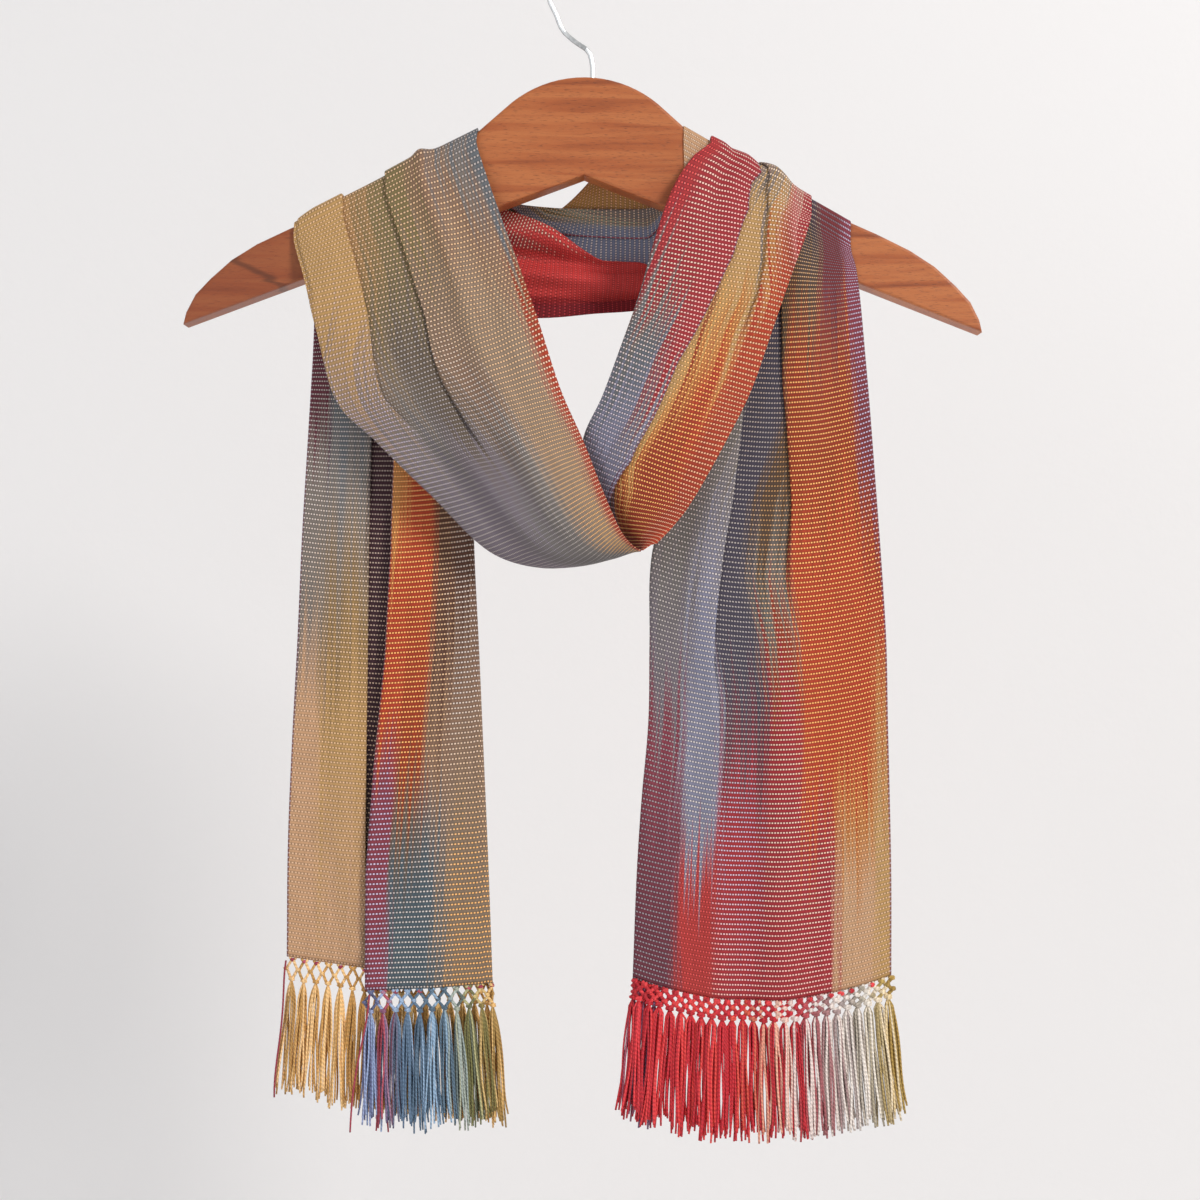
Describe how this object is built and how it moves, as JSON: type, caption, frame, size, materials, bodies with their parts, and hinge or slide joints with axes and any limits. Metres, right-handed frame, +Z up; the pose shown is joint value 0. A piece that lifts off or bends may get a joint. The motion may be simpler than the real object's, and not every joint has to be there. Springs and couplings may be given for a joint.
{
  "type": "woven scarf on a wooden coat hanger",
  "caption": "Narrow handwoven scarf with knotted fringes, wound once round a flat wooden coat hanger so that a loop hangs in front and both ends hang as tails.",
  "frame": {"origin": "highest point inside the hanger hook's crook, where a rail or a nail carries it", "axes": "+Z up, -Y the front that faces the viewer, +X to the viewer's right along the hanger"},
  "size_m": [0.446, 0.0802, 0.6721],
  "materials": {
    "scarf_cloth": "handwoven warp-faced rep, matt, space-dyed in soft bands of red, orange, gold, olive and slate",
    "fringe_yarn": "twisted yarn with a slight silky sheen, the colours of the warp it leaves",
    "hanger_wood": "reddish brown hardwood, oiled satin",
    "hook_steel": "bright zinc-plated wire"
  },
  "bodies": {
    "root": {"hanger_board": "hanger_wood", "hanger_hook": "hook_steel", "tail_right": "scarf_cloth", "tail_left": "scarf_cloth", "neck_upper": "scarf_cloth", "neck_lower": "scarf_cloth", "loop_left": "scarf_cloth", "loop_right": "scarf_cloth", "fringe_left": "fringe_yarn", "fringe_right": "fringe_yarn"}
  },
  "joints": []
}
